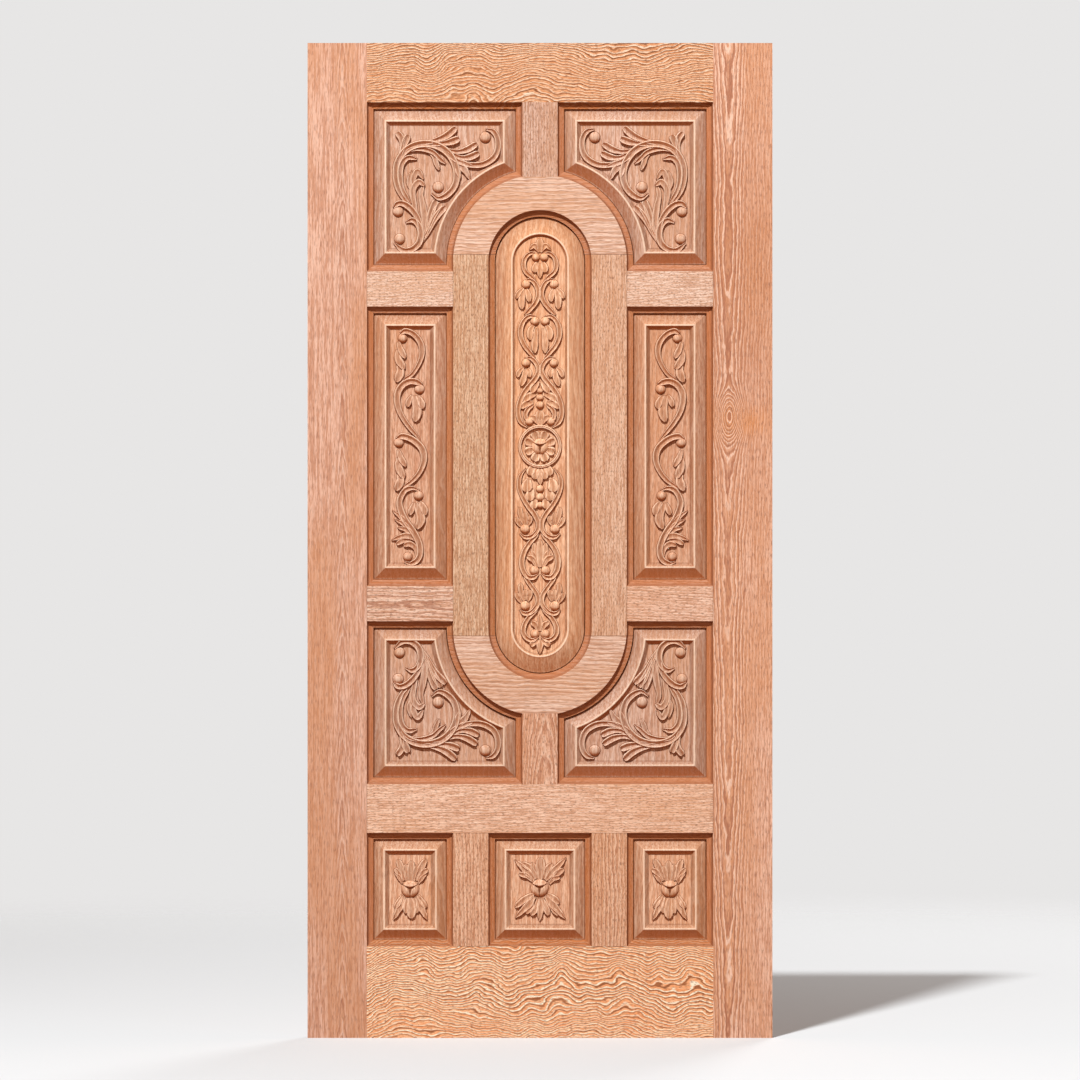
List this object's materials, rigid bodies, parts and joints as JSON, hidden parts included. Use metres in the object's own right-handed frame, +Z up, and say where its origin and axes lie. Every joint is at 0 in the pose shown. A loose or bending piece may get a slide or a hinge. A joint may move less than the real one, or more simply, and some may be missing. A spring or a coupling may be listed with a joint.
{
  "type": "wooden door",
  "caption": "Solid wooden door leaf, framed in stiles and rails, with raised panels carved in acanthus scrolls round a tall stadium-shaped centre panel.",
  "frame": {"origin": "middle of the foot of the leaf, halfway through its thickness", "axes": "+X to the right as the carved face is seen, +Y from the carved face to the back, +Z up the leaf"},
  "size_m": [0.997, 0.04, 2.134],
  "materials": {
    "stile_wood": "bare sanded teak",
    "rail_wood": "bare sanded teak",
    "ring_wood": "bare sanded teak",
    "panel_wood": "bare carved teak"
  },
  "bodies": {
    "root": {"hinge_stile": "stile_wood", "lock_stile": "stile_wood", "top_rail": "rail_wood", "cross_rail": "rail_wood", "bottom_rail": "rail_wood", "upper_left_rail": "rail_wood", "upper_right_rail": "rail_wood", "lower_left_rail": "rail_wood", "lower_right_rail": "rail_wood", "left_muntin": "ring_wood", "right_muntin": "ring_wood", "ring_arches": "ring_wood", "top_mullion": "ring_wood", "bottom_mullion": "ring_wood", "left_foot_mullion": "ring_wood", "right_foot_mullion": "ring_wood", "left_corner_panels": "panel_wood", "right_corner_panels": "panel_wood", "left_side_panel": "panel_wood", "right_side_panel": "panel_wood", "centre_panel": "panel_wood", "left_foot_panel": "panel_wood", "centre_foot_panel": "panel_wood", "right_foot_panel": "panel_wood"}
  },
  "joints": []
}
